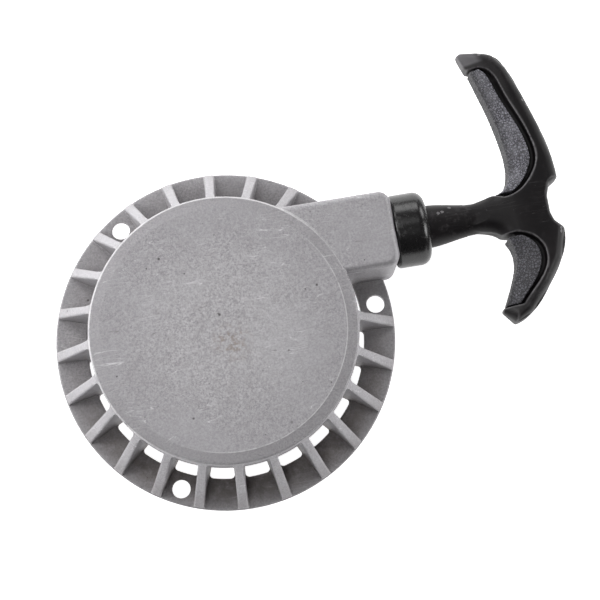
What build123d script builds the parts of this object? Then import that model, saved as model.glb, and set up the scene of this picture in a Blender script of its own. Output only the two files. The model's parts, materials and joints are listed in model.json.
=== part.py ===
from build123d import *

import os
from math import atan2, cos, degrees, hypot, radians, sin

# Recoil starter for a small two-stroke engine, as an assembly of separate pieces.
# Millimetres. The origin is the centre of the mounting face, on the reel's axis. +Z points out
# through the cap, away from the engine, and +X is the way the cord is pulled.

# ---- Housing ---------------------------------------------------------------------------------
flange_r = 65.0
flange_inner_r = 53.0
flange_t = 3.0
flange_chamfer = 0.4
flange_root_width = 4.0
flange_root_fillet = 1.6
bolt_circle_r = 59.2
bolt_hole_r = 3.5
bolt_count = 3
first_bolt_angle = 4.2

cap_r = 50.0
cap_top = 31.5
cap_disc_r = 45.5
cap_edge_drop = 0.7
cap_edge_chamfer = 0.6
cap_plate_t = 3.3
cap_inside = cap_top - cap_plate_t
skirt_wall = 3.0
skirt_bottom = 17.5

rib_count = 24
rib_width = 4.2
rib_draft = 1.1
rib_inner_r = 46.6
rib_outer_r = 64.6
rib_outer_height = 4.5
rib_top = cap_top - cap_edge_drop - cap_edge_chamfer
rib_root_r = 52.0
rib_root_width = 2.9
rib_root_fillet = 1.2
rib_round = 0.9

# ---- Cord line, and the outlet block it leaves through -----------------------------------------
cord_r = 1.9
cord_y = 28.2
cord_z = 16.0
outlet_y = 27.7
outlet_end_x = 69.0
outlet_half_width = 14.4
outlet_cavity_x = 36.0
outlet_top = 30.6
outlet_wall = 3.5
outlet_top_round = 2.4
outlet_corner_round = 4.5
outlet_hole_r = 8.0

# ---- Axle stack, from the cap down to the screw head -------------------------------------------
axle_r = 6.0
axle_end = 10.0
spigot_r = 4.5
spigot_end = 6.0
screw_r = 3.0
screw_hole_depth = 18.0
case_ring_r = 33.2
case_ring_wall = 2.2
case_ring_bottom = 22.0
running_gap = 0.05
seat_gap = 0.1

# ---- Spring case and spring ----------------------------------------------------------------------
case_r = 33.1
case_sheet = 0.6
case_bottom = 21.35
case_bore_r = 8.0
tab_count = 4
tab_depth = 1.6
tab_t = 0.3
cover_r = 32.4
cover_bore_r = 9.0
cover_t = 0.4
spring_t = 0.5
spring_low = 22.2
spring_high = 27.3
spring_inner_r = 9.6
spring_pitch = 2.4
spring_half_turns = 18
inner_hook = 1.8
outer_hook = 2.6

# ---- Reel ------------------------------------------------------------------------------------------
reel_r = 32.0
reel_low = 10.9
reel_flange_t = 1.2
groove_width = 7.8
groove_low = reel_low + reel_flange_t
groove_high = groove_low + groove_width
reel_high = groove_high + 1.1
groove_r = 14.3
reel_hub_r = 8.6
reel_hub_high = 27.3
layer_pitch = 3.9
cord_turns = 7
turn_angle = 320.0
crossing_angle = 60.0
entry_bend_r = 3.0
knot_pocket_r = 3.0
knot_pocket_at = 10.9
knot_r = 2.7
window_count = 5

# ---- Pawls and the plate that throws them out ------------------------------------------------------
pawl_pivot_at = 22.0
pawl_post_r = 2.5
pawl_low = 7.7
pawl_high = 10.6
pawl_reach = 17.5
pawl_lean = 1.5
pawl_eye_r = 4.4
pawl_tip_r = 1.6
pawl_throw = 28.0
plate_turn = 20.0
peg_at = 8.0
peg_r = 1.4
slot_gap = 0.25
plate_r = 30.5
plate_low = 6.2
plate_high = 7.4
brake_wire_r = 0.4
brake_coil_r = 7.2
brake_turns = 3

# ---- Screw and washers -------------------------------------------------------------------------------
washer_r = 8.0
washer_low = 4.8
lock_washer_r = 5.5
lock_washer_low = 3.5
screw_head_r = 5.8
screw_head_low = 0.3
screw_tip = 20.0
cross_width = 1.2
cross_length = 6.4
cross_depth = 1.8

# ---- Outlet bumper and ferrule -----------------------------------------------------------------------
bumper_r = 14.0
bumper_start = outlet_end_x + 0.1
bumper_end = 82.2
bumper_outer_round = 4.0
bumper_inner_round = 1.2
bumper_seat = 79.0
foot_recess_r = 8.6
neck_lip_r = 9.0
neck_lip_t = 1.6
ferrule_r = 4.5
ferrule_bore_r = 2.5
ferrule_start = 62.0
ferrule_end = 75.9
ferrule_lip_r = 6.6

# ---- Pull handle, in coordinates from the cord line: u along the pull, v across ------------------------
handle_half_t = 9.0
grip_round = 1.5
stem_start = bumper_seat + seat_gap
foot_r = 8.1
stem_waist_x = 103.0
stem_waist_r = 5.9
cord_bore_r = 2.4
notch_x = 129.0
knot_seat_x = 121.0
knot_room_r = 5.4
pad_depth = 3.2
pad_sink = 0.35
pad_groove = 2.2
pad_end_gap = 1.4
knot_washer_r = 5.0
knot_washer_t = 1.0
handle_knot_r = 3.8

os.makedirs("parts", exist_ok=True)


def save(label, part):
    part.label = label
    export_step(part, f"parts/{label}.step")


def cord_plane(x):
    """Plane across the cord at x, facing along the pull."""
    return Plane(origin=(x, cord_y, cord_z), x_dir=(0, 1, 0), z_dir=(1, 0, 0))


# ==== Housing: one aluminium casting =====================================================================
above_ribs = (
    (cap_r - 0.4, rib_top),
    (rib_outer_r + 1, rib_outer_height - 1),
    (rib_outer_r + 1, rib_top + 5),
    (cap_r - 0.4, rib_top + 5),
)


def make_rib():
    """One drafted rib along +X, from the skirt down to the rim of the flange."""
    with BuildPart() as rib:
        with BuildSketch():
            with Locations(((rib_inner_r + rib_outer_r) / 2, 0)):
                Rectangle(rib_outer_r - rib_inner_r, rib_width)
        extrude(amount=rib_top, taper=rib_draft)
        with BuildSketch(Plane.XZ):
            Polygon(*above_ribs, align=None)
        extrude(amount=rib_width, both=True, mode=Mode.SUBTRACT)
        slope = rib.edges().filter_by(
            lambda e: abs(e.tangent_at(0.5).Z) > 0.5 and abs(e.tangent_at(0.5).X) > 0.3
        )
        fillet(slope, rib_round)
    return rib.part


def rib_angles():
    """Angles of the ribs, halfway between the bolt holes' sectors, leaving out the outlet block's."""
    pitch = 360 / rib_count
    for k in range(rib_count):
        angle = first_bolt_angle + pitch * (k + 0.5)
        y = rib_outer_r * sin(radians(angle))
        behind_outlet = cos(radians(angle)) > 0 and 0 < y < outlet_y + outlet_half_width + 5
        if not behind_outlet:
            yield angle


inside_r = cap_r - skirt_wall
rib_piece = make_rib()

with BuildPart() as rib_roots:
    # the skirt's wall runs into each rib with a small fillet, which rounds the windows' corners
    with BuildSketch(Plane.XY.offset(skirt_bottom)) as root_plan:
        Circle(cap_r - 0.02)
        for angle in rib_angles():
            with Locations(Rotation(0, 0, angle)):
                with Locations((rib_root_r - 3, 0)):
                    Rectangle(6, rib_root_width)
        at_wall = root_plan.vertices().filter_by(lambda v: abs(hypot(v.X, v.Y) - cap_r) < 0.1)
        fillet(at_wall, rib_root_fillet)
        Circle(inside_r, mode=Mode.SUBTRACT)
    extrude(amount=rib_top - skirt_bottom)
    with BuildSketch(Plane.XZ):
        Polygon(*above_ribs, align=None)
    revolve(axis=Axis.Z, mode=Mode.SUBTRACT)

with BuildPart() as flange_roots:
    # the flange's inner edge runs into each rib the same way
    with BuildSketch() as flange_plan:
        Circle(flange_inner_r + 2.5)
        Circle(flange_inner_r, mode=Mode.SUBTRACT)
        for angle in rib_angles():
            with Locations(Rotation(0, 0, angle)):
                with Locations((flange_inner_r, 0)):
                    Rectangle(4, flange_root_width)
        at_edge = flange_plan.vertices().filter_by(lambda v: abs(hypot(v.X, v.Y) - flange_inner_r) < 0.1)
        fillet(at_edge, flange_root_fillet)
    extrude(amount=flange_t - flange_chamfer)

with BuildPart() as outlet_block:
    with BuildSketch():
        with Locations((outlet_end_x / 2 + 10, outlet_y)):
            Rectangle(outlet_end_x - 20, 2 * outlet_half_width)
    extrude(amount=outlet_top)
    fillet(outlet_block.edges().filter_by(Axis.Z).group_by(Axis.X)[-1], outlet_corner_round)
    fillet(outlet_block.faces().sort_by(Axis.Z)[-1].edges(), outlet_top_round)

with BuildPart() as housing:
    # flange ring
    with BuildSketch():
        Circle(flange_r)
        Circle(flange_inner_r, mode=Mode.SUBTRACT)
    extrude(amount=flange_t)
    chamfer(housing.edges().group_by(Axis.Z)[-1], flange_chamfer)
    add(outlet_block.part)
    add(rib_roots.part)
    add(flange_roots.part)
    # ribs
    for angle in rib_angles():
        with Locations(Rotation(0, 0, angle)):
            add(rib_piece)
    # cap and skirt
    with BuildSketch(Plane.XZ):
        with BuildLine():
            Polyline(
                (0, cap_inside),
                (0, cap_top),
                (cap_disc_r, cap_top),
                (cap_r - cap_edge_chamfer, cap_top - cap_edge_drop),
                (cap_r, cap_top - cap_edge_drop - cap_edge_chamfer),
                (cap_r, skirt_bottom),
                (inside_r, skirt_bottom),
                (inside_r, cap_inside),
                close=True,
            )
        make_face()
    revolve(axis=Axis.Z)
    # everything inside the skirt, under the cap, is open
    with BuildSketch(Plane.XY.offset(-1)):
        Circle(inside_r)
    extrude(amount=cap_inside + 1, mode=Mode.SUBTRACT)
    # the outlet block is hollow, and open towards the engine
    with BuildSketch(Plane.XY.offset(-1)):
        with Locations(((outlet_cavity_x + outlet_end_x - outlet_wall) / 2, outlet_y)):
            RectangleRounded(
                outlet_end_x - outlet_wall - outlet_cavity_x, 2 * (outlet_half_width - outlet_wall), 1
            )
    extrude(amount=outlet_top - outlet_wall + 1, mode=Mode.SUBTRACT)
    with BuildSketch(cord_plane(outlet_end_x - 2 * outlet_wall)):
        Circle(outlet_hole_r)
    extrude(amount=3 * outlet_wall, mode=Mode.SUBTRACT)
    # axle, with the spigot that carries the throw-out plate
    with BuildSketch(Plane.XY.offset(axle_end)):
        Circle(axle_r)
    extrude(amount=cap_inside - axle_end + 0.5)
    with BuildSketch(Plane.XY.offset(spigot_end)):
        Circle(spigot_r)
    extrude(amount=axle_end - spigot_end)
    with BuildSketch(Plane.XY.offset(spigot_end)):
        Circle(screw_r + running_gap)
    extrude(amount=screw_hole_depth, mode=Mode.SUBTRACT)
    # cast ring that the spring case is pressed into
    with BuildSketch(Plane.XY.offset(case_ring_bottom)):
        Circle(case_ring_r + case_ring_wall)
        Circle(case_ring_r, mode=Mode.SUBTRACT)
    extrude(amount=cap_inside - case_ring_bottom + 0.5)
    # mounting holes
    with BuildSketch():
        with PolarLocations(bolt_circle_r, bolt_count, start_angle=first_bolt_angle):
            Circle(bolt_hole_r)
    extrude(amount=flange_t + 20, mode=Mode.SUBTRACT)
save("housing", housing.part)


# ==== Outlet bumper and ferrule ==========================================================================
with BuildPart() as bumper:
    with BuildSketch(cord_plane(bumper_start)):
        Circle(bumper_r)
    extrude(amount=bumper_end - bumper_start)
    fillet(bumper.edges().sort_by(Axis.X)[-1], bumper_outer_round)
    fillet(bumper.edges().sort_by(Axis.X)[0], bumper_inner_round)
    neck_start = outlet_end_x - outlet_wall - neck_lip_t - 0.1
    with BuildSketch(cord_plane(neck_start)):
        Circle(outlet_hole_r - 0.02)
    extrude(amount=bumper_start - neck_start)
    with BuildSketch(cord_plane(neck_start)):
        Circle(neck_lip_r)
    extrude(amount=neck_lip_t)
    with BuildSketch(cord_plane(bumper_seat)):
        Circle(foot_recess_r)
    extrude(amount=bumper_end - bumper_seat, mode=Mode.SUBTRACT)
    with BuildSketch(cord_plane(neck_start)):
        Circle(ferrule_bore_r + 0.5)
    extrude(amount=bumper_end - neck_start, mode=Mode.SUBTRACT)
    with BuildSketch(cord_plane(neck_start)):
        Circle(ferrule_r)
    extrude(amount=ferrule_end + 0.1 - neck_start, mode=Mode.SUBTRACT)
save("outlet_bumper", bumper.part)

with BuildPart() as ferrule:
    with BuildSketch(cord_plane(ferrule_start)):
        Circle(ferrule_lip_r)
    extrude(amount=neck_start - ferrule_start - 0.05)
    with BuildSketch(cord_plane(ferrule_start)):
        Circle(ferrule_r - 0.02)
    extrude(amount=ferrule_end - ferrule_start)
    with BuildSketch(cord_plane(ferrule_start)):
        Circle(ferrule_bore_r)
    extrude(amount=ferrule_end - ferrule_start, mode=Mode.SUBTRACT)
    fillet(ferrule.edges().filter_by(GeomType.CIRCLE).sort_by(Axis.X)[0:2], 0.5)
save("cord_ferrule", ferrule.part)


# ==== Spring case, cover and spring ======================================================================
with BuildPart() as case:
    with BuildSketch(Plane.XY.offset(case_bottom)):
        Circle(case_r)
    extrude(amount=cap_inside - 0.1 - case_bottom)
    with BuildSketch(Plane.XY.offset(case_bottom)):
        Circle(case_r - case_sheet)
    extrude(amount=cap_inside - 0.1 - case_sheet - case_bottom, mode=Mode.SUBTRACT)
    with BuildSketch(Plane.XY.offset(case_bottom)):
        Circle(case_bore_r)
    extrude(amount=cap_inside, mode=Mode.SUBTRACT)
    # folded tabs under the cover
    with BuildSketch(Plane.XY.offset(case_bottom)):
        with PolarLocations(case_r - case_sheet - tab_depth / 2 + 0.2, tab_count, start_angle=45):
            Rectangle(tab_depth, 6)
    extrude(amount=tab_t)
    # slot for the spring's outer hook
    with BuildSketch(Plane.XY.offset(case_bottom)):
        with Locations((case_r, 0)):
            Rectangle(2.4, 3.2)
    extrude(amount=spring_high + 0.1 - case_bottom, mode=Mode.SUBTRACT)
save("spring_case", case.part)

with BuildPart() as cover:
    with BuildSketch(Plane.XY.offset(case_bottom + tab_t + 0.05)):
        Circle(cover_r)
        Circle(cover_bore_r, mode=Mode.SUBTRACT)
    extrude(amount=cover_t)
save("spring_cover", cover.part)


def spiral_side(offset):
    """One side of the spring strip: half circles about two centres, growing by half a pitch each."""
    for k in range(spring_half_turns):
        side = 1 if k % 2 == 0 else -1
        centre = -side * spring_pitch / 4
        r = spring_inner_r + k * spring_pitch / 2 + offset
        ThreePointArc((centre + side * r, 0), (centre, side * r), (centre - side * r, 0))


spring_start_x = spring_inner_r - spring_pitch / 4
spring_end_x = spring_inner_r + (spring_half_turns - 1) * spring_pitch / 2 + spring_pitch / 4
with BuildPart() as spring:
    with BuildSketch(Plane.XY.offset(spring_low)):
        with BuildLine():
            spiral_side(spring_t / 2)
            spiral_side(-spring_t / 2)
            Line((spring_start_x - spring_t / 2, 0), (spring_start_x + spring_t / 2, 0))
            Line((spring_end_x - spring_t / 2, 0), (spring_end_x + spring_t / 2, 0))
        make_face()
        # inner hook, into the reel's hub, and outer hook, into the case's slot
        with Locations((spring_start_x - inner_hook / 2 + spring_t / 2, -spring_t / 2)):
            Rectangle(inner_hook, spring_t)
        with Locations((spring_end_x + outer_hook / 2 - spring_t / 2, spring_t / 2)):
            Rectangle(outer_hook, spring_t)
    extrude(amount=spring_high - spring_low)
save("recoil_spring", spring.part)

# ==== Cord path: wound layers, and the entry through the reel's core ====================================
def on_circle(r, angle, z):
    return Vector(r * cos(radians(angle)), r * sin(radians(angle)), z)


def level(n):
    """Radius and height of turn n of the cord, counted back from where it leaves the reel."""
    if n == 0:
        return (cord_y, cord_z)
    low_z = groove_low + cord_r + running_gap
    high_z = groove_high - cord_r - running_gap
    return (cord_y - (n + 1) // 2 * layer_pitch, low_z if (n // 2) % 2 else high_z)


inner_r, inner_z = level(cord_turns - 1)
resting_angle = turn_angle - crossing_angle
bend_angle = 90 + (cord_turns - 1) * turn_angle + resting_angle


def turn_points(n, angles):
    """Points of turn n at angles counted from its start."""
    r, z = level(n)
    return [on_circle(r, 90 + n * turn_angle + a, z) for a in angles]


def crossing_points(n):
    """Points of the crossing from turn n to the next, easing out and in."""
    r, z = level(n)
    next_r, next_z = level(n + 1)
    first = 90 + n * turn_angle + resting_angle
    steps = 4
    for k in range(steps + 1):
        share = k / steps
        ease = share * share * (3 - 2 * share)
        at = first + share * crossing_angle
        yield on_circle(r + (next_r - r) * ease, at, z + (next_z - z) * ease)


def wound_path():
    """The wound turns, each a circular arc with an eased crossing to the next."""
    with BuildLine() as path:
        for n in range(cord_turns):
            ThreePointArc(*turn_points(n, (0, resting_angle / 2, resting_angle)))
            if n + 1 < cord_turns:
                points = list(crossing_points(n))
                leave = on_circle(1, 180 + n * turn_angle + resting_angle, 0)
                arrive = on_circle(1, 180 + (n + 1) * turn_angle, 0)
                Spline(*points, tangents=[leave, arrive])
    return path.wire()


def entry_path():
    """From the end of the wound layers, round a bend and in along a radius."""
    start = on_circle(inner_r, bend_angle, inner_z)
    along = on_circle(1, bend_angle + 90, 0)
    inward = on_circle(-1, bend_angle, 0)
    middle = start + along * (entry_bend_r * sin(radians(45)))
    middle += inward * (entry_bend_r * (1 - cos(radians(45))))
    turned = start + along * entry_bend_r + inward * entry_bend_r
    with BuildLine() as path:
        bend = ThreePointArc(start, middle, turned)
        Line(turned, turned + inward * (inner_r - entry_bend_r - knot_pocket_at))
    return path


def knot_centre():
    along = on_circle(1, bend_angle + 90, 0)
    return on_circle(knot_pocket_at, bend_angle, 0) + along * entry_bend_r


def entry_tube(radius):
    """Round bar that follows the cord's way in."""
    path = entry_path()
    with BuildPart(mode=Mode.PRIVATE) as tube:
        with BuildSketch(Plane(origin=path.wire() @ 0, z_dir=path.wire() % 0)):
            Circle(radius)
        sweep(path=path.wire())
    return tube.part


# ==== Reel ===============================================================================================
with BuildPart() as reel:
    with BuildSketch(Plane.XZ):
        with BuildLine():
            Polyline(
                (axle_r + running_gap, reel_low),
                (reel_r, reel_low),
                (reel_r, reel_low + reel_flange_t - 0.4),
                (groove_r + 1, groove_low),
                (groove_r, groove_low + 1),
                (groove_r, groove_high - 1),
                (groove_r + 1, groove_high),
                (reel_r, groove_high + 0.3),
                (reel_r, reel_high),
                (reel_hub_r, reel_high),
                (reel_hub_r, reel_hub_high),
                (axle_r + running_gap, reel_hub_high),
                close=True,
            )
        make_face()
    revolve(axis=Axis.Z)
    # posts that the pawls turn on
    with BuildSketch(Plane.XY.offset(pawl_low - 0.1)):
        with PolarLocations(pawl_pivot_at, 2):
            Circle(pawl_post_r)
    extrude(amount=reel_low - pawl_low + 0.3)
    # slot for the spring's inner hook
    with BuildSketch(Plane.XY.offset(reel_high)):
        with Locations((reel_hub_r, 0)):
            Rectangle(3.4, 2.4)
    extrude(amount=reel_hub_high - reel_high, mode=Mode.SUBTRACT)
    # pocket for the cord's inner knot, open towards the engine, and the hole the cord enters by
    with BuildSketch(Plane.XY.offset(reel_low)):
        with Locations(knot_centre()):
            Circle(knot_pocket_r)
    extrude(amount=inner_z + knot_pocket_r - reel_low, mode=Mode.SUBTRACT)
    add(entry_tube(cord_r + 0.15), mode=Mode.SUBTRACT)
save("reel", reel.part)

with BuildPart() as wound_cord:
    wound_line = wound_path()
    with BuildSketch(Plane(origin=wound_line @ 0, z_dir=wound_line % 0)):
        Circle(cord_r)
    sweep(path=wound_line)
save("cord_wound", wound_cord.part)

with BuildPart() as reel_knot:
    add(entry_tube(cord_r))
    with Locations(knot_centre() + Vector(0, 0, inner_z)):
        Sphere(knot_r)
save("reel_knot", reel_knot.part)


# ==== Pawls and the plate that throws them out ==========================================================
arm = Vector(-pawl_lean, -pawl_reach, 0)
peg = arm.normalized() * peg_at


def make_pawl(side):
    """One pawl. Side 1 hangs from the post on +X, and side -1 from the post on -X."""
    pivot = Vector(side * pawl_pivot_at, 0, 0)
    tip = pivot + arm * side
    normal = Vector(-arm.Y, arm.X, 0).normalized()
    with BuildPart(mode=Mode.PRIVATE) as pawl:
        with BuildSketch(Plane.XY.offset(pawl_low)):
            with Locations(pivot):
                Circle(pawl_eye_r)
            with Locations(tip):
                Circle(pawl_tip_r)
            with BuildLine():
                Polyline(
                    pivot + normal * pawl_eye_r,
                    tip + normal * pawl_tip_r,
                    tip - normal * pawl_tip_r,
                    pivot - normal * pawl_eye_r,
                    close=True,
                )
            make_face()
        extrude(amount=pawl_high - pawl_low)
        with BuildSketch(Plane.XY.offset(plate_low - 0.2)):
            with Locations(pivot + peg * side):
                Circle(peg_r)
        extrude(amount=pawl_low - plate_low + 0.3)
        with BuildSketch(Plane.XY.offset(pawl_low)):
            with Locations(pivot):
                Circle(pawl_post_r + running_gap)
        extrude(amount=pawl_high - pawl_low, mode=Mode.SUBTRACT)
    return pawl.part


save("pawl_a", make_pawl(1))
save("pawl_b", make_pawl(-1))


def peg_in_plate(share):
    """Where a pawl's peg sits in the plate, when the plate has lagged by a share of its travel."""
    thrown = peg.rotate(Axis.Z, share * pawl_throw) + Vector(pawl_pivot_at, 0, 0)
    return thrown.rotate(Axis.Z, -share * plate_turn)


with BuildPart() as plate:
    with BuildSketch(Plane.XY.offset(plate_low)):
        Circle(plate_r)
        Circle(spigot_r + running_gap, mode=Mode.SUBTRACT)
        slot_steps = 4
        for k in range(slot_steps):
            a = peg_in_plate(k / slot_steps)
            b = peg_in_plate((k + 1) / slot_steps)
            across = b - a
            lean = degrees(atan2(across.Y, across.X))
            for turn in (0, 180):
                middle = ((a + b) / 2).rotate(Axis.Z, turn)
                with Locations(Location(middle, (0, 0, lean + turn))):
                    SlotCenterToCenter(across.length, 2 * (peg_r + slot_gap), mode=Mode.SUBTRACT)
        # lightening windows
        with PolarLocations(15.5, 2, start_angle=45):
            SlotCenterToCenter(8, 6, rotation=90, mode=Mode.SUBTRACT)
    extrude(amount=plate_high - plate_low)
save("throw_plate", plate.part)

with BuildPart() as brake:
    gap = reel_low - plate_high - 2 * brake_wire_r - 0.1
    coil = Helix(pitch=gap / brake_turns, height=gap, radius=brake_coil_r)
    placed = coil.moved(Location((0, 0, plate_high + brake_wire_r + 0.05)))
    with BuildSketch(Plane(origin=placed @ 0, z_dir=placed % 0)):
        Circle(brake_wire_r)
    sweep(path=placed)
save("brake_spring", brake.part)

# ==== Screw and washers =================================================================================
with BuildPart() as washer:
    with BuildSketch(Plane.XY.offset(washer_low)):
        Circle(washer_r)
        Circle(screw_r + 0.2, mode=Mode.SUBTRACT)
    extrude(amount=spigot_end - 0.05 - washer_low)
save("centre_washer", washer.part)

with BuildPart() as lock_washer:
    with BuildSketch(Plane.XY.offset(lock_washer_low + 0.05)):
        Circle(lock_washer_r)
        Circle(screw_r + 0.1, mode=Mode.SUBTRACT)
        with Locations((lock_washer_r, 0)):
            Rectangle(2 * (lock_washer_r - screw_r), 0.6, rotation=30, mode=Mode.SUBTRACT)
    extrude(amount=washer_low - lock_washer_low - 0.1)
save("lock_washer", lock_washer.part)

with BuildPart() as screw:
    with BuildSketch(Plane.XY.offset(screw_head_low)):
        Circle(screw_head_r)
    extrude(amount=lock_washer_low - screw_head_low)
    fillet(screw.edges().sort_by(Axis.Z)[0], 1.2)
    with BuildSketch(Plane.XY.offset(lock_washer_low)):
        Circle(screw_r)
    extrude(amount=screw_tip - lock_washer_low)
    chamfer(screw.edges().sort_by(Axis.Z)[-1], 0.6)
    with BuildSketch(Plane.XY.offset(screw_head_low)):
        Rectangle(cross_length, cross_width)
        Rectangle(cross_width, cross_length)
    extrude(amount=cross_depth, mode=Mode.SUBTRACT)
save("centre_screw", screw.part)


# ==== Pull handle =======================================================================================
upper_arm_back = (
    (106.8, 93.0), (112.9, 91.6), (118.3, 89.6), (122.8, 83.9),
    (127.0, 72.7), (131.2, 59.2), (133.9, 46.5), (134.4, 38.3),
)
notch = ((134.4, 38.3), (130.5, 35.8), (notch_x, 31.5), (notch_x, 25.0), (130.0, 22.0), (133.5, 18.6))
lower_arm_back = ((133.5, 18.6), (130.0, 7.0), (123.7, -2.1), (115.4, -11.1), (108.9, -14.1))
lower_arm_front = (
    (104.5, -9.2), (109.5, 0.7), (112.6, 9.1), (111.7, 16.0), (108.0, 20.6), (101.0, 22.7), (95.0, 26.2),
)
upper_arm_front = (
    (95.0, 30.2), (101.0, 33.7), (108.0, 35.1), (112.6, 36.6), (116.0, 45.0),
    (115.6, 54.9), (111.8, 72.7), (108.0, 84.5), (105.1, 92.0),
)
upper_bed_edge = (
    (111.8, 85.2), (115.1, 83.2), (119.3, 73.7), (123.8, 61.7), (126.4, 53.0), (126.7, 46.1),
    (123.2, 39.5), (118.6, 35.2), (112.4, 33.4),
)
upper_bed_end = (106.0, 36.2)
lower_bed_edge = (
    (108.9, 19.4), (116.5, 18.7), (121.0, 16.1), (123.8, 11.0), (123.6, 6.5), (120.5, 1.0), (112.3, -7.9),
)
lower_bed_end = (100.0, -7.9)


def handle_outline():
    """Closed outline of the handle's grip, seen along Z."""
    with BuildLine() as line:
        Spline(*upper_arm_back)
        Polyline(*notch)
        Spline(*lower_arm_back)
        Line(lower_arm_back[-1], lower_arm_front[0])
        Spline(*lower_arm_front)
        Line(lower_arm_front[-1], upper_arm_front[0])
        Spline(*upper_arm_front)
        Line(upper_arm_front[-1], upper_arm_back[0])
    return line.wire()


def thickness_profile(inset):
    """Outline of the grip seen along Y: thin at the stem, full over the finger side, thinner at the back."""
    upper = ((94.0, 4.6), (98.0, 5.2), (103.0, 6.4), (108.0, 8.0), (113.0, handle_half_t), (123.0, 9.2),
             (137.0, 7.2))
    top = [(x, cord_z + t - inset) for x, t in upper]
    bottom = [(x, cord_z - t + inset) for x, t in reversed(upper)]
    with BuildLine() as line:
        Spline(*top)
        Line(top[-1], bottom[0])
        Spline(*bottom)
        Line(bottom[-1], top[0])
    return line.wire()


with BuildPart() as grip:
    with BuildSketch():
        make_face(handle_outline().edges())
    extrude(amount=2 * cord_z)
    with BuildSketch(Plane.XZ):
        make_face(thickness_profile(0).edges())
    extrude(amount=200, both=True, mode=Mode.INTERSECT)
    fillet(grip.edges().filter_by(lambda e: abs(e.center().Z - cord_z) > 4), grip_round)


def moved_back(points, depth):
    """Points of a finger-side curve, moved into the bar by a depth square to the curve."""
    moved = []
    for k, (x, y) in enumerate(points):
        before = points[max(k - 1, 0)]
        after = points[min(k + 1, len(points) - 1)]
        dx = after[0] - before[0]
        dy = after[1] - before[1]
        reach = depth / hypot(dx, dy) * (1 if dy > 0 else -1)
        moved.append((x + reach * dy, y - reach * dx))
    return moved


def bar_behind(front, depth):
    """Everything in the bar's thickness that lies deeper than a depth below the finger side."""
    curve = moved_back(front, depth)
    low_y = curve[0][1] - 3
    with BuildPart(mode=Mode.PRIVATE) as behind:
        with BuildSketch():
            with BuildLine():
                Spline(*curve)
                Polyline(curve[-1], (150, curve[-1][1]), (150, low_y), (curve[0][0], low_y), curve[0])
            make_face()
        extrude(amount=2 * cord_z)
        with BuildSketch(Plane.XZ):
            make_face(thickness_profile(depth).edges())
        extrude(amount=200, both=True, mode=Mode.INTERSECT)
    return behind.part


def pad_prism(edge, end, gap, end_gap):
    """Prism over one grip pad: a curve along the bar's middle, closed past the finger side."""
    curve = [(x - gap, y) for x, y in edge]
    first_y = edge[0][1] - end_gap
    last_y = edge[-1][1] + end_gap
    with BuildPart(mode=Mode.PRIVATE) as region:
        with BuildSketch():
            with BuildLine():
                Spline(*curve)
                Polyline(curve[-1], end, (90, end[1]), (90, edge[0][1]), curve[0])
            make_face()
            with Locations((110, (first_y + last_y) / 2)):
                Rectangle(80, first_y - last_y, mode=Mode.INTERSECT)
        extrude(amount=2 * cord_z)
    return region.part


def pad_bed(edge, end, front):
    return pad_prism(edge, end, 0, 0) - bar_behind(front, pad_depth)


def make_pad(edge, end, front):
    """A soft pad that lines the finger side, standing just below the bar's own surface."""
    skin = grip.part & pad_prism(edge, end, 0, pad_end_gap) & pad_prism(edge, end, pad_groove, pad_end_gap)
    return (skin & bar_behind(front, pad_sink)) - bar_behind(front, pad_depth - 0.02)


upper_front = upper_arm_front[2:]
lower_front = lower_arm_front[:5]
upper_bed = pad_bed(upper_bed_edge, upper_bed_end, upper_front)
lower_bed = pad_bed(lower_bed_edge, lower_bed_end, lower_front)

with BuildPart() as handle:
    add(grip.part)
    # stem, from the foot that sits in the bumper to the grip
    with BuildSketch(Plane(origin=(0, cord_y, cord_z), x_dir=(1, 0, 0), z_dir=(0, -1, 0))):
        with BuildLine():
            Polyline((115.0, stem_waist_r), (115.0, 0), (stem_start, 0), (stem_start, foot_r - 0.6))
            Line((stem_start, foot_r - 0.6), (stem_start + 0.6, foot_r))
            Spline((stem_start + 0.6, foot_r), (85.5, 7.95), (92.0, 6.95), (stem_waist_x, stem_waist_r))
            Line((stem_waist_x, stem_waist_r), (115.0, stem_waist_r))
        make_face()
    revolve(axis=Axis((0, cord_y, cord_z), (1, 0, 0)))
    # beds that the grip pads are moulded into
    add(upper_bed, mode=Mode.SUBTRACT)
    add(lower_bed, mode=Mode.SUBTRACT)
    # bore for the cord, and room for its knot at the back
    with BuildSketch(cord_plane(stem_start)):
        Circle(cord_bore_r)
    extrude(amount=knot_seat_x - stem_start, mode=Mode.SUBTRACT)
    with BuildSketch(cord_plane(knot_seat_x)):
        Circle(knot_room_r)
    extrude(amount=30, mode=Mode.SUBTRACT)
save("handle", handle.part)


save("grip_pad_long", make_pad(upper_bed_edge, upper_bed_end, upper_front))
save("grip_pad_short", make_pad(lower_bed_edge, lower_bed_end, lower_front))

with BuildPart() as knot_washer:
    with BuildSketch(cord_plane(knot_seat_x + 0.05)):
        Circle(knot_washer_r)
        Circle(cord_r + 0.2, mode=Mode.SUBTRACT)
    extrude(amount=knot_washer_t)
save("knot_washer", knot_washer.part)

with BuildPart() as cord_run:
    with BuildSketch(cord_plane(0.05)):
        Circle(cord_r)
    extrude(amount=knot_seat_x + knot_washer_t + 0.1 - 0.05)
save("cord_run", cord_run.part)

with BuildPart() as handle_knot:
    with Locations((knot_seat_x + knot_washer_t + 0.2 + handle_knot_r, cord_y, cord_z)):
        Sphere(handle_knot_r)
save("handle_knot", handle_knot.part)
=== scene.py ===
"""Recoil starter: the looks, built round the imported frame. Blender works in metres."""

import json
from math import cos, hypot, pi, radians, sin

import bpy
from mathutils import Matrix, Vector, noise


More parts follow.
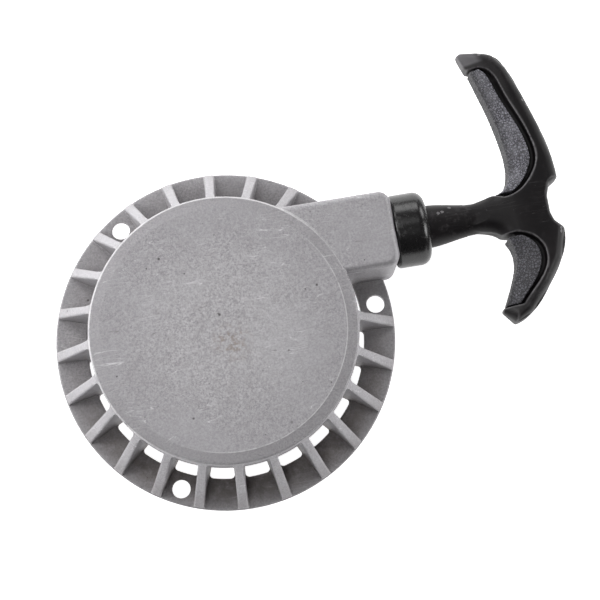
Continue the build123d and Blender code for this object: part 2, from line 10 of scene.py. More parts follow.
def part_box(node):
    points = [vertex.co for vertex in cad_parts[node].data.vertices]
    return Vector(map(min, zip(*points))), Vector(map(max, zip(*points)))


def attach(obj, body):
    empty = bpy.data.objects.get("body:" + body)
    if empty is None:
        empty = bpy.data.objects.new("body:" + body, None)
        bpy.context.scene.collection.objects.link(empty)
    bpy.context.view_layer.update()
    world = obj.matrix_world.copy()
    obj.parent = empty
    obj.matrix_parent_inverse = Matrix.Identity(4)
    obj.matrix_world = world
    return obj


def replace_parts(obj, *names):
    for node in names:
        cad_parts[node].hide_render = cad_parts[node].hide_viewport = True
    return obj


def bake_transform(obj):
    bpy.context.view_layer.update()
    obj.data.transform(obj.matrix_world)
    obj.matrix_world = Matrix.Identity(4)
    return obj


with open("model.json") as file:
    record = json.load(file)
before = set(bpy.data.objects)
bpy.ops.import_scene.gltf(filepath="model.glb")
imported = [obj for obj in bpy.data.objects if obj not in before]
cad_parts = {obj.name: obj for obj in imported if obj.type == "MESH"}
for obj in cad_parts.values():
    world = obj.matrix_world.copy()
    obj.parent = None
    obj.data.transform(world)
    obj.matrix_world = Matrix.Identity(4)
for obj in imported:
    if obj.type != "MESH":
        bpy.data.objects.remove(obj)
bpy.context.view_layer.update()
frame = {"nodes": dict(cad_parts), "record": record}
MM = 0.001

# ---- Sizes in millimetres, as in the CAD -----------------------------------------------------
CORD_R = 1.9
CORD_Y = 28.2
CORD_Z = 16.0
GROOVE_LOW = 12.1
GROOVE_HIGH = 19.9
CORD_GAP = 0.05
LAYER_PITCH = 3.9
CORD_TURNS = 7
TURN_ANGLE = 320.0
CROSSING_ANGLE = 60.0
ENTRY_BEND_R = 3.0
KNOT_POCKET_AT = 10.9
REEL_KNOT_R = 2.7
HANDLE_KNOT_R = 3.8
CAP_R = 50.0
CAP_DISC_R = 45.5
RIM_LOW = 29.5


# ==== Material building =======================================================================
BEVEL_SAMPLES = 4
WEAR_LEAN = (0.02, 0.20)


class Shader:
    """Builds one material's node tree. Texture lengths are in millimetres."""

    def __init__(self, name):
        self.material = bpy.data.materials.new(name)
        self.material.use_nodes = True
        self.tree = self.material.node_tree
        self.surface = self.tree.nodes["Principled BSDF"]
        coord = self.tree.nodes.new("ShaderNodeTexCoord")
        self.mm = self.vector("SCALE", coord.outputs["Object"], scale=1000)
        parts = self.add("ShaderNodeSeparateXYZ", Vector=self.mm)
        self.x, self.y, self.z = parts.outputs
        flat = self.vector("MULTIPLY", self.mm, (1, 1, 0))
        self.r = self.vector("LENGTH", flat, output="Value")

    def add(self, kind, settings=None, **inputs):
        node = self.tree.nodes.new(kind)
        for key, value in (settings or {}).items():
            setattr(node, key, value)
        for key, value in inputs.items():
            self.put(node.inputs[key.replace("_", " ")], value)
        return node

    def put(self, socket, value):
        if isinstance(value, bpy.types.NodeSocket):
            self.tree.links.new(value, socket)
        elif isinstance(value, tuple) and len(value) == 3 and socket.type == "RGBA":
            socket.default_value = (*value, 1)
        else:
            socket.default_value = value

    def vector(self, operation, a, b=None, scale=None, output="Vector"):
        node = self.tree.nodes.new("ShaderNodeVectorMath")
        node.operation = operation
        self.put(node.inputs[0], a)
        if b is not None:
            self.put(node.inputs[1], b)
        if scale is not None:
            self.put(node.inputs["Scale"], scale)
        return node.outputs[output]

    def math(self, operation, a, b=0.0):
        node = self.tree.nodes.new("ShaderNodeMath")
        node.operation = operation
        self.put(node.inputs[0], a)
        self.put(node.inputs[1], b)
        return node.outputs[0]

    def times(self, *values):
        result = values[0]
        for value in values[1:]:
            result = self.math("MULTIPLY", result, value)
        return result

    def minus(self, value):
        return self.math("SUBTRACT", 1.0, value)

    def band(self, value, low, high):
        """0 below low, 1 above high, smooth between; low may be above high, which turns it round."""
        turned = low > high
        node = self.add("ShaderNodeMapRange", {"interpolation_type": "SMOOTHSTEP"}, Value=value)
        node.inputs["From Min"].default_value = min(low, high)
        node.inputs["From Max"].default_value = max(low, high)
        node.inputs["To Min"].default_value = 1.0 if turned else 0.0
        node.inputs["To Max"].default_value = 0.0 if turned else 1.0
        return node.outputs["Result"]

    def noise(self, per_mm, detail=3.0, rough=0.55, vector=None, seed=0.0):
        node = self.add("ShaderNodeTexNoise", {"noise_dimensions": "4D"}, Vector=vector or self.mm)
        self.put(node.inputs["W"], seed)
        self.put(node.inputs["Scale"], per_mm)
        self.put(node.inputs["Detail"], detail)
        self.put(node.inputs["Roughness"], rough)
        return node.outputs["Fac"]

    def cells(self, per_mm, feature="F1", vector=None, output="Distance"):
        node = self.add("ShaderNodeTexVoronoi", {"feature": feature}, Vector=vector or self.mm)
        self.put(node.inputs["Scale"], per_mm)
        return node.outputs[output]

    def turned(self, angle, sx, sy, sz):
        """Texture space turned about Z by an angle in degrees, then scaled on each axis."""
        node = self.add("ShaderNodeMapping", Vector=self.mm)
        node.inputs["Rotation"].default_value = (0, 0, radians(angle))
        node.inputs["Scale"].default_value = (sx, sy, sz)
        return node.outputs["Vector"]

    def scratches(self, angle, seed, width=0.004, keep=0.62):
        """Thin broken lines that run near one direction."""
        stretched = self.turned(angle, 0.035, 0.5, 0.2)
        field = self.noise(1.0, 1.0, 0.3, stretched, seed)
        line = self.band(self.math("ABSOLUTE", self.math("SUBTRACT", field, 0.5)), width, 0.0)
        return self.times(line, self.band(self.noise(0.09, 1.0, 0.5, seed=seed + 5), keep - 0.06, keep))

    def pits(self, per_mm, size, share, seed=0.0):
        """Scattered small dark specks, one in some of the cells."""
        shift = self.vector("ADD", self.mm, (seed, 2 * seed, 0.0))
        spot = self.band(self.cells(per_mm, vector=shift), size, size * 0.45)
        pick = self.add("ShaderNodeSeparateColor", Color=self.cells(per_mm, vector=shift, output="Color"))
        return self.times(spot, self.band(pick.outputs[0], 1 - share, 1 - share + 0.02))

    def mix(self, share, a, b):
        """Color a where share is 0, color b where it is 1."""
        node = self.add("ShaderNodeMix", {"data_type": "RGBA"})
        self.put(node.inputs[0], share)
        self.put(node.inputs[6], a)
        self.put(node.inputs[7], b)
        return node.outputs[2]

    def lerp(self, share, a, b):
        """The same as mix, for single values."""
        node = self.add("ShaderNodeMix", {"data_type": "FLOAT"})
        self.put(node.inputs[0], share)
        self.put(node.inputs[2], a)
        self.put(node.inputs[3], b)
        return node.outputs[0]

    def larger(self, a, b):
        return self.math("MAXIMUM", a, b)

    def geometry(self, output):
        return self.add("ShaderNodeNewGeometry").outputs[output]

    def bevel(self, radius):
        """Normal that rounds every edge off."""
        return self.add("ShaderNodeBevel", {"samples": BEVEL_SAMPLES}, Radius=radius * MM).outputs[0]

    def edge_wear(self, bevel):
        """1 on outer and inner edges, from how far the bevelled normal leans off the true one."""
        alike = self.vector("DOT_PRODUCT", bevel, self.geometry("Normal"), output="Value")
        return self.band(self.minus(alike), *WEAR_LEAN)

    def bump(self, height, strength, depth, normal=None):
        node = self.add("ShaderNodeBump", Height=height, Strength=strength, Distance=depth * MM)
        if normal is not None:
            self.put(node.inputs["Normal"], normal)
        return node.outputs["Normal"]

    def finish(self, color, rough, normal=None, metal=0.0, **others):
        self.put(self.surface.inputs["Base Color"], color)
        self.put(self.surface.inputs["Roughness"], rough)
        self.put(self.surface.inputs["Metallic"], metal)
        if normal is not None:
            self.put(self.surface.inputs["Normal"], normal)
        for key, value in others.items():
            self.put(self.surface.inputs[key.replace("_", " ")], value)
        return self.material


# ==== Casting =================================================================================
# grey of the painted highlights on the cap's rim
HIGHLIGHT_GREY = (0.80, 0.79, 0.80)
# millimetres: the stain's middle, and how far from it the stain is 0, then 1
STAIN_AT = (2.4, -5.3, 31.0)
STAIN_EDGE = (9.5, 2.5)


def towards_lower_right(s):
    """Distance across the view, from its upper left to its lower right."""
    return s.math("ADD", s.times(s.x, 0.8), s.times(s.y, -0.6))


def casting_metal(s, grain, mottle):
    """Grained grey metal in lighter and duller patches, with painted shade that darkens it from the middle of
    the cap outwards.
    """
    cloud = s.noise(0.04, 2.0, 0.5, seed=7.0)
    color = s.mix(s.band(grain, 0.32, 0.68), (0.265, 0.255, 0.268), (0.56, 0.548, 0.565))
    color = s.mix(s.times(s.band(mottle, 0.44, 0.66), 0.35), color, (0.29, 0.277, 0.285))
    color = s.mix(s.times(s.band(cloud, 0.42, 0.62), 0.35), color, (0.46, 0.452, 0.47))
    sparkle = s.band(s.noise(1.9, 2.0, 0.85, seed=11.0), 0.66, 0.74)
    color = s.mix(s.times(sparkle, 0.6), color, (0.88, 0.88, 0.89))
    specks = s.band(s.noise(1.2, 2.0, 0.8, seed=12.0), 0.33, 0.26)
    color = s.mix(s.times(specks, 0.5), color, (0.15, 0.14, 0.14))
    # painted shade: darker away from the middle of the cap, brighter in the middle
    outward_painted_shade = s.band(s.r, 14.0, 46.0)
    return s.mix(s.times(outward_painted_shade, 0.36), color, (0.275, 0.265, 0.282))


def handling_marks(s, color, dark_lines, pits):
    """Bright scratches, dark scratches and dark pits."""
    light_lines = s.larger(s.scratches(83, 1.0, 0.006, 0.57), s.scratches(14, 2.0, 0.005, 0.60))
    color = s.mix(s.times(light_lines, 0.55), color, (0.80, 0.79, 0.81))
    color = s.mix(s.times(dark_lines, 0.55), color, (0.15, 0.14, 0.14))
    return s.mix(s.times(pits, 0.8), color, (0.06, 0.055, 0.055))


def cap_stain(s, color):
    """Brown stain near the middle of the cap."""
    away = s.vector("DISTANCE", s.mm, STAIN_AT, output="Value")
    stain = s.times(s.band(away, *STAIN_EDGE), s.band(s.noise(0.45, 4.0, 0.7, seed=20.0), 0.46, 0.62))
    return s.mix(s.times(stain, 0.6), color, (0.25, 0.20, 0.165))


def cap_rim(s, color):
    """Slightly darker band round the cap's disc, between two painted highlight lines on the edges that face
    the lamps.
    """
    on_top = s.band(s.z, RIM_LOW, RIM_LOW + 0.7)
    past_disc = s.band(s.r, CAP_DISC_R - 0.3, CAP_DISC_R + 0.2)
    rim = s.times(past_disc, s.band(s.r, CAP_R + 0.2, CAP_R - 0.6), on_top)
    color = s.mix(s.times(rim, 0.25), color, (0.27, 0.26, 0.27))
    inner_rise = s.band(s.r, CAP_DISC_R - 0.30, CAP_DISC_R - 0.12)
    inner_highlight = s.times(inner_rise, s.band(s.r, CAP_DISC_R + 0.25, CAP_DISC_R + 0.05), on_top)
    outer_rise = s.band(s.r, CAP_R - 0.65, CAP_R - 0.50)
    outer_highlight = s.times(outer_rise, s.band(s.r, CAP_R + 0.4, CAP_R + 0.2), on_top)
    # painted highlights: the inner edge's line only on the lower right, the outer edge's line only on the
    # upper left, the sides that face the lamps
    across = towards_lower_right(s)
    broken = s.band(s.noise(0.25, 4.0, 0.7, seed=17.0), 0.30, 0.50)
    color = s.mix(s.times(inner_highlight, s.band(across, 0.0, 26.0), broken, 0.42), color, HIGHLIGHT_GREY)
    return s.mix(s.times(outer_highlight, s.band(across, 30.0, -5.0), broken, 0.45), color, HIGHLIGHT_GREY)


def rib_tops(s, color):
    """Painted highlight: the sloped rib tops are made paler than the rest on the upper left, the side the
    lamps light.
    """
    lean = s.add("ShaderNodeSeparateXYZ", Vector=s.geometry("Normal")).outputs[2]
    sloped = s.times(s.band(lean, 0.38, 0.46), s.band(lean, 0.68, 0.60))
    rib_top = s.times(sloped, s.band(s.r, CAP_R + 0.2, CAP_R + 0.8))
    # painted highlight on the rib tops of the upper left
    share = s.times(rib_top, s.band(towards_lower_right(s), 5.0, -30.0), 0.16)
    return s.mix(share, color, (0.80, 0.79, 0.82))


def casting_dirt_and_shade(s):
    """Dirt and painted shade on the flange and low on the rib sides, darker near the cap, most of it on the
    side away from the outlet, where the cap's shadow falls.
    """
    low = s.times(s.band(s.z, 16.0, 2.0), s.band(s.r, 68.5, 57.0))
    share = s.lerp(s.band(s.y, 5.0, -48.0), 0.35, 1.0)
    patches = s.lerp(s.band(s.noise(0.35, 4.0, 0.65, seed=15.0), 0.25, 0.62), 0.6, 1.0)
    return s.times(patches, low, share)


def cast_aluminium():
    """Grey tumbled casting: fine grain, scratches, pits, dirt and painted shade low between the ribs, worn
    edges, painted highlights on the cap's rim and rib tops.
    """
    s = Shader("cast_aluminium")
    grain = s.noise(1.25, 4.0, 0.85)
    mottle = s.noise(0.25, 5.0, 0.7, seed=3.0)
    dark_lines = s.larger(s.scratches(-52, 4.0, 0.004, 0.60), s.scratches(-8, 9.0, 0.004, 0.62))
    pits = s.larger(s.pits(0.13, 0.085, 0.55), s.pits(0.3, 0.12, 0.14, 31.0))
    color = casting_metal(s, grain, mottle)
    color = handling_marks(s, color, dark_lines, pits)
    color = cap_stain(s, color)
    color = cap_rim(s, color)
    color = rib_tops(s, color)
    dirt_and_shade = casting_dirt_and_shade(s)
    # dirt and painted shade: dark brown low between the ribs
    color = s.mix(s.times(dirt_and_shade, 0.80), color, (0.115, 0.096, 0.086))
    round_normal = s.bevel(0.5)
    pale_edges = s.times(s.edge_wear(round_normal), s.band(s.noise(0.6, 3.0, 0.6, seed=2.0), 0.28, 0.48))
    pale_edges = s.times(pale_edges, s.minus(s.times(dirt_and_shade, 0.8)))
    color = s.mix(s.times(pale_edges, 0.7), color, (0.90, 0.89, 0.91))
    relief = s.math("ADD", s.times(grain, 0.8), s.times(s.noise(0.5, 3.0, 0.6, seed=5.0), 0.9))
    relief = s.math("SUBTRACT", relief, s.times(pits, 1.2))
    relief = s.math("SUBTRACT", relief, s.times(dark_lines, 0.4))
    rough = s.lerp(s.band(mottle, 0.3, 0.7), 0.62, 0.48)
    return s.finish(color, rough, s.bump(relief, 0.7, 0.12, round_normal), metal=0.45)


# ==== Rubber, plastic, steel and cord =========================================================
def bumper_rubber():
    """Black moulded rubber with a soft gloss, faint dust and a moulding grain."""
    s = Shader("bumper_rubber")
    dust = s.band(s.noise(0.45, 4.0, 0.7), 0.52, 0.75)
    color = s.mix(s.times(dust, 0.22), (0.012, 0.0115, 0.012), (0.10, 0.097, 0.097))
    grain = s.noise(3.0, 3.0, 0.6)
    rough = s.lerp(dust, 0.24, 0.48)
    return s.finish(color, rough, s.bump(grain, 0.2, 0.05, s.bevel(0.4)))


# millimetres at which each fade is 0, then 1
STEM_FADES = (108.0, 94.0)
TIP_STARTS = (86.4, 87.6)
TIP_ENDS = (154.0, 151.0)
SHORT_PAD_Y = (22.0, 14.0)
DUSTY_Y = (20.0, 60.0)
FINGER_SHADE_HEIGHT = (6.8, 4.0)


def handle_plastic():
    """Black moulded nylon: satin, with dusty scuffs on the stem and a painted highlight along its convex
    edges.
    """
    s = Shader("handle_plastic")
    scuff = s.band(s.noise(0.3, 5.0, 0.75), 0.50, 0.70)
    on_stem = s.band(s.x, *STEM_FADES)
    color = s.mix(s.band(s.noise(0.05, 2.0), 0.4, 0.6), (0.0065, 0.0055, 0.0062), (0.0105, 0.009, 0.0098))
    color = s.mix(s.times(scuff, s.lerp(on_stem, 0.05, 0.28)), color, (0.10, 0.092, 0.095))
    lines = s.larger(s.scratches(8, 21.0, 0.005, 0.54), s.scratches(70, 22.0, 0.004, 0.58))
    color = s.mix(s.times(lines, 0.25), color, (0.13, 0.125, 0.13))
    # painted highlight: a pale line along the convex edges and ridges
    ridge_highlight = s.band(s.geometry("Pointiness"), 0.508, 0.55)
    pale_edges = s.times(ridge_highlight, s.lerp(s.noise(0.8, 3.0, seed=4.0), 0.5, 1.0))
    color = s.mix(s.times(pale_edges, 0.65), color, (0.28, 0.27, 0.28))
    # the flat past the long pad's end is worn to a dull grey, as far as a line that leans towards the stem
    off_line = s.math("ADD", s.x, s.times(s.y, 0.45))
    tip = s.times(s.band(s.y, *TIP_STARTS), s.band(off_line, *TIP_ENDS))
    color = s.mix(s.times(tip, 0.5), color, (0.16, 0.155, 0.165))
    rough = s.lerp(scuff, 0.44, 0.60)
    relief = s.math("ADD", s.noise(1.2, 4.0, 0.6, seed=8.0), s.times(lines, -0.4))
    return s.finish(color, rough, s.bump(relief, 0.2, 0.06), Specular_IOR_Level=0.20)


def grip_rubber():
    """Soft black grip with a leather grain: pale dust on the crests, darker creases."""
    s = Shader("grip_rubber")
    wander = s.add("ShaderNodeTexNoise", Vector=s.mm)
    s.put(wander.inputs["Scale"], 0.9)
    warped = s.vector("ADD", s.mm, s.vector("SCALE", wander.outputs["Color"], scale=0.9))
    crest = s.band(s.cells(1.0, "DISTANCE_TO_EDGE", warped), 0.02, 0.22)
    fine = s.noise(2.2, 3.0, 0.7)
    color = s.mix(s.times(crest, s.band(fine, 0.26, 0.62)), (0.028, 0.027, 0.032), (0.245, 0.241, 0.282))
    dusty = s.times(s.band(s.noise(0.16, 3.0, 0.6, seed=6.0), 0.40, 0.65), s.band(s.y, *DUSTY_Y))
    color = s.mix(s.times(dusty, 0.35), color, (0.22, 0.218, 0.24))
    # painted shade: blacker where the pad slopes down towards the middle height on its finger side, and on
    # the short pad
    off_middle = s.math("ABSOLUTE", s.math("SUBTRACT", s.z, CORD_Z))
    finger_side_shade = s.larger(s.band(off_middle, *FINGER_SHADE_HEIGHT), s.times(s.band(s.y, *SHORT_PAD_Y), 0.75))
    color = s.mix(s.times(finger_side_shade, 0.85), color, (0.014, 0.013, 0.015))
    relief = s.math("ADD", crest, s.times(fine, 0.35))
    rough = s.lerp(crest, 0.62, 0.45)
    return s.finish(color, rough, s.bump(relief, 0.8, 0.2))


def shaded(tint, factor):
    return tuple(min(1.0, factor * c) for c in tint)


def worn_steel(name, tint, rough_low, rough_high, rust, brushed=None):
    """Oiled steel of a plated, blued or hardened tint. Rust is how strong its rust spots are."""
    s = Shader(name)
    cloud = s.band(s.noise(0.2, 4.0, 0.6), 0.3, 0.7)
    color = s.mix(cloud, shaded(tint, 0.72), tint)
    stretch = s.turned(25, 0.25, 6.0, 2.0) if brushed is None else s.turned(brushed, 0.1, 9.0, 3.0)
    lines = s.noise(1.0, 2.0, 0.5, stretch)
    color = s.mix(s.times(s.band(lines, 0.4, 0.75), 0.3), color, shaded(tint, 1.35))
    spots = s.times(s.band(s.noise(0.7, 4.0, 0.7, seed=5.0), 0.60, 0.72), rust)
    color = s.mix(spots, color, (0.20, 0.09, 0.045))
    round_normal = s.bevel(0.15)
    pale_edges = s.edge_wear(round_normal)
    color = s.mix(s.times(pale_edges, 0.4), color, (0.75, 0.75, 0.74))
    rough = s.lerp(cloud, rough_low, rough_high)
    return s.finish(color, rough, s.bump(lines, 0.12, 0.03, round_normal), metal=s.lerp(spots, 0.95, 0.2))


def reel_nylon():
    """Black glass-filled nylon: faint flow marks, fibre specks and grease smears."""
    s = Shader("reel_nylon")
    flow = s.noise(0.12, 4.0, 0.65)
    fibres = s.band(s.noise(1.0, 2.0, 0.5, s.turned(35, 0.9, 5.0, 2.0)), 0.62, 0.75)
    color = s.mix(s.band(flow, 0.35, 0.7), (0.018, 0.018, 0.019), (0.042, 0.041, 0.042))
    color = s.mix(s.times(fibres, 0.3), color, (0.13, 0.13, 0.13))
    grease = s.times(s.band(s.r, 19.0, 7.0), s.band(s.noise(0.3, 3.0, seed=9.0), 0.45, 0.6))
    rough = s.lerp(grease, 0.55, 0.22)
    return s.finish(color, rough, s.bump(s.noise(1.4, 3.0, 0.6), 0.25, 0.05, s.bevel(0.2)))


def braided_nylon(name, tint, fleck):
    """Braided cord: yarn colour with flecked strands, fibre fuzz in the bump."""
    s = Shader(name)
    yarn = s.noise(3.2, 4.0, 0.7)
    color = s.mix(s.band(yarn, 0.3, 0.7), shaded(tint, 0.62), tint)
    color = s.mix(s.times(s.band(s.noise(0.55, 2.0, seed=3.0), 0.56, 0.6), 0.85), color, fleck)
    soot = s.band(s.noise(0.06, 3.0, 0.6, seed=8.0), 0.45, 0.65)
    color = s.mix(s.times(soot, 0.35), color, (0.10, 0.095, 0.085))
    return s.finish(color, s.lerp(yarn, 0.85, 0.6), s.bump(yarn, 0.4, 0.08), Sheen_Weight=0.25)


materials = {
    "cast_aluminium": cast_aluminium(),
    "bumper_rubber": bumper_rubber(),
    "handle_plastic": handle_plastic(),
    "grip_rubber": grip_rubber(),
    "ferrule_steel": worn_steel("ferrule_steel", (0.62, 0.61, 0.58), 0.22, 0.38, 0.05),
    "case_steel": worn_steel("case_steel", (0.55, 0.56, 0.55), 0.30, 0.48, 0.12),
    "spring_steel": worn_steel("spring_steel", (0.17, 0.19, 0.24), 0.22, 0.35, 0.10),
    "pawl_steel": worn_steel("pawl_steel", (0.40, 0.39, 0.37), 0.30, 0.50, 0.30),
    "plate_steel": worn_steel("plate_steel", (0.60, 0.58, 0.50), 0.26, 0.42, 0.15, 70),
    "fastener_zinc": worn_steel("fastener_zinc", (0.66, 0.66, 0.63), 0.24, 0.40, 0.08),
    "reel_nylon": reel_nylon(),
    "cord_nylon": braided_nylon("cord_nylon", (0.62, 0.60, 0.55), (0.03, 0.035, 0.05)),
}


def dress_nodes():
    """Gives each CAD node the material that the record names for it."""
    slots = {row["node"]: row["material_slot"] for row in frame["record"]["subparts"]}
    for name, node in frame["nodes"].items():
        node.data.materials.clear()
        node.data.materials.append(materials[slots[name]])


dress_nodes()


# ==== Shared small steps ======================================================================
def polar(r, angle, z):
    return Vector((r * cos(radians(angle)), r * sin(radians(angle)), z))


def eased(value, low, high):
    """0 at low, 1 at high, smooth between and level beyond; low may be above high."""
    t = max(0.0, min(1.0, (value - low) / (high - low)))
    return t * t * (3 - 2 * t)


def linked(name, data):
    """New object in the scene."""
    obj = bpy.data.objects.new(name, data)
    bpy.context.scene.collection.objects.link(obj)
    return obj


def dress_smooth(mesh, material):
    mesh.polygons.foreach_set("use_smooth", [True] * len(mesh.polygons))
    mesh.materials.clear()
    mesh.materials.append(material)
    mesh.update()


# ==== Cord: braided tube along a path =========================================================
# lengths in millimetres
AROUND = 28
STRANDS = 8
BRAID_PITCH = 9.0
BRAID_RELIEF = 0.10
END_DOME = 0.04
RUN_X = (0.08, 122.1)
RUN_STEPS = 260
WOUND_STEP = 1.3
HANDLE_KNOT_CORD_R = 1.3
REEL_KNOT_CORD_R = 1.0
BEND_STEPS = 12
WAY_IN_STEPS = 8


def frames_along(points):
    """Two cross directions at each point, carried along the path without twist."""
    last = len(points) - 1
    tangents = [(points[min(k + 1, last)] - points[max(k - 1, 0)]).normalized() for k in range(last + 1)]
    side = tangents[0].cross(Vector((0, 0, 1)))
    if side.length < 0.1:
        side = tangents[0].cross(Vector((0, 1, 0)))
    side.normalize()
    directions = []
    for tangent in tangents:
        side = (side - tangent * side.dot(tangent)).normalized()
        directions.append((side, tangent.cross(side)))
    return directions


def braid_ring(point, side, up, radius, turn):
    """One ring of vertices, higher where a left-hand or a right-hand strand passes."""
    ring = []
    for j in range(AROUND):
        a = 2 * pi * j / AROUND
        left = cos((STRANDS * a + STRANDS * turn / 2) / 2) ** 2
        right = cos((STRANDS * a - STRANDS * turn / 2) / 2) ** 2
        r = radius * (1 - BRAID_RELIEF + BRAID_RELIEF * max(left, right) ** 0.7)
        ring.append(point + (side * cos(a) + up * sin(a)) * r)
    return ring


def braided_tube(name, points, radius):
    """Cord whose crossing strands stand out from the surface. Each end is closed by a low dome."""
    vertices = []
    travelled = 0.0
    previous = points[0]
    for point, (side, up) in zip(points, frames_along(points)):
        travelled += (point - previous).length
        previous = point
        vertices += braid_ring(point, side, up, radius, 2 * pi * travelled / BRAID_PITCH)
    last = len(points) - 1
    faces = []
    for k in range(last):
        for j in range(AROUND):
            a = k * AROUND + j
            b = k * AROUND + (j + 1) % AROUND
            faces.append((a, b, b + AROUND, a + AROUND))
    for ring, inner in ((0, 1), (last, last - 1)):
        outward = (points[ring] - points[inner]).normalized()
        tip = len(vertices)
        vertices.append(points[ring] + outward * END_DOME)
        for j in range(AROUND):
            a = ring * AROUND + j
            b = ring * AROUND + (j + 1) % AROUND
            faces.append((b, a, tip) if ring == 0 else (a, b, tip))
    mesh = bpy.data.meshes.new(name)
    mesh.from_pydata([v * MM for v in vertices], [], faces)
    dress_smooth(mesh, materials["cord_nylon"])
    tube = linked(name, mesh)
    return tube


def cord_level(n):
    """Radius and height of turn n of the wound cord, counted back from where it leaves the reel."""
    if n == 0:
        return CORD_Y, CORD_Z
    low_z = GROOVE_LOW + CORD_R + CORD_GAP
    high_z = GROOVE_HIGH - CORD_R - CORD_GAP
    return CORD_Y - (n + 1) // 2 * LAYER_PITCH, low_z if (n // 2) % 2 else high_z


def wound_points():
    """Path of the wound cord: resting turns with an eased crossing from each to the next."""
    total = CORD_TURNS * TURN_ANGLE - CROSSING_ANGLE
    count = int(total / WOUND_STEP)
    points = []
    for k in range(count + 1):
        angle = total * k / count
        n = min(int(angle // TURN_ANGLE), CORD_TURNS - 1)
        r, z = cord_level(n)
        crossing = (n + 1) * TURN_ANGLE - CROSSING_ANGLE
        if n + 1 < CORD_TURNS:
            next_r, next_z = cord_level(n + 1)
            ease = eased(angle, crossing, crossing + CROSSING_ANGLE)
            r += (next_r - r) * ease
            z += (next_z - z) * ease
        points.append(polar(r, 90 + angle, z))
    return points


def knot_points(centre, size, steps=150):
    """A trefoil, tied round the X axis."""
    points = []
    for k in range(steps + 1):
        t = 2 * pi * k / steps
        across = sin(t) + 2 * sin(2 * t)
        up = cos(t) - 2 * cos(2 * t)
        points.append(centre + Vector((-sin(3 * t) * 0.9, across, up)) * (size / 3))
    return points


def make_wound_cord():
    wound = braided_tube("braided_cord_wound", wound_points(), CORD_R)
    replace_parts(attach(wound, "reel_body"), "cord_wound")


def make_cord_run():
    """Straight cord from the reel to the handle."""
    start, end = RUN_X
    xs = [start + (end - start) * k / RUN_STEPS for k in range(RUN_STEPS + 1)]
    run = braided_tube("braided_cord_run", [Vector((x, CORD_Y, CORD_Z)) for x in xs], CORD_R)
    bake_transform(run)
    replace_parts(run, "cord_run")


def make_handle_knot():
    low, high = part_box("handle_knot")
    centre = (Vector(low) + Vector(high)) / 2 / MM
    path = knot_points(centre, HANDLE_KNOT_R - 1.25)
    knot = braided_tube("tied_handle_knot", path, HANDLE_KNOT_CORD_R)
    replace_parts(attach(knot, "handle_body"), "handle_knot")


def make_reel_knot():
    """The inner knot, and the cord's way in to it through the reel's core."""
    bend = 90 + CORD_TURNS * TURN_ANGLE - CROSSING_ANGLE
    inner_r, inner_z = cord_level(CORD_TURNS - 1)
    along = polar(1, bend + 90, 0) * ENTRY_BEND_R
    inward = polar(-1, bend, 0) * ENTRY_BEND_R
    steps = [pi / 2 * k / BEND_STEPS for k in range(BEND_STEPS + 1)]
    way = [polar(inner_r, bend, inner_z) + along * sin(a) + inward * (1 - cos(a)) for a in steps]
    pocket = polar(KNOT_POCKET_AT, bend, inner_z) + along
    way += [way[-1].lerp(pocket, k / WAY_IN_STEPS) for k in range(1, WAY_IN_STEPS + 1)]
    lead = braided_tube("braided_cord_entry", way, CORD_R - 0.05)
    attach(lead, "reel_body")
    ball = braided_tube("tied_reel_knot", knot_points(pocket, REEL_KNOT_R - 1.0), REEL_KNOT_CORD_R)
    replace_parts(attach(ball, "reel_body"), "reel_knot")


make_wound_cord()
make_cord_run()
make_handle_knot()
make_reel_knot()


# ==== Handle and grip pads: the CAD shapes, softened ==========================================
# edges of the handle seen from above, in millimetres
FINGER_SIDE = (
    (104.2, -10.0), (109.5, 0.7), (112.3, 9.1), (110.5, 17.0), (104.0, 22.3), (98.0, 28.2),
    (104.0, 34.2), (112.6, 37.5), (116.0, 45.0), (115.6, 54.9), (111.8, 72.7), (108.0, 84.5), (104.9, 93.0),
)
UPPER_BACK = (
    (105.1, 92.4), (106.8, 93.0), (112.9, 91.6), (118.3, 89.6), (122.8, 83.9), (127.0, 72.7), (131.2, 59.2),
    (133.9, 46.5), (134.4, 38.3),
)
NOTCH = ((134.4, 38.3), (130.5, 35.8), (129.0, 31.5), (129.0, 25.0), (130.0, 22.0), (133.5, 18.6))
LOWER_BACK = ((133.5, 18.6), (130.0, 7.0), (123.7, -2.1), (115.4, -11.1), (108.9, -14.1), (104.5, -9.2))
# reaches in millimetres, least shares of the thickness, and pairs at which a fade is 0, then 1
SLIM_REACH = 10.5
SLIM_LEAST = 0.50
OFF_STEM = (7.5, 14.5)
BAR_STARTS = (99.0, 105.0)
BACK_REACH = 3.6
NOTCH_REACH = 1.6
BACK_LEAST = 0.35
STEM_R = 5.95
STEM_BLEND = (97.0, 116.0)
STEM_WIDENS = 14.0
STEM_DEEPENS = 3.1
NEAR_STEM = (8.0, 12.0)
HANDLE_VOXEL = 0.4
PAD_VOXEL = 0.3
PAD_STRETCH = 0.9
LONG_PAD_END = (74.0, 86.0)
SHORT_PAD_END = (6.0, -6.0)
GRAIN_DEPTH = 0.16
GRAIN_PER_MM = 0.95
CREASE = 0.35


def distance_to(line, x, y):
    best = 1e9
    for (ax, ay), (bx, by) in zip(line, line[1:]):
        dx, dy = bx - ax, by - ay
        t = max(0.0, min(1.0, ((x - ax) * dx + (y - ay) * dy) / (dx * dx + dy * dy)))
        best = min(best, hypot(x - ax - t * dx, y - ay - t * dy))
    return best


def finger_slope(x, y, off_axis):
    """Share of its thickness that the bar keeps: it thins towards the fingers, but not on the stem."""
    reach = min(1.0, distance_to(FINGER_SIDE, x, y) / SLIM_REACH)
    slope = SLIM_LEAST + (1 - SLIM_LEAST) * sin(reach * pi / 2)
    return 1 + (slope - 1) * eased(off_axis, *OFF_STEM) * eased(x, *BAR_STARTS)


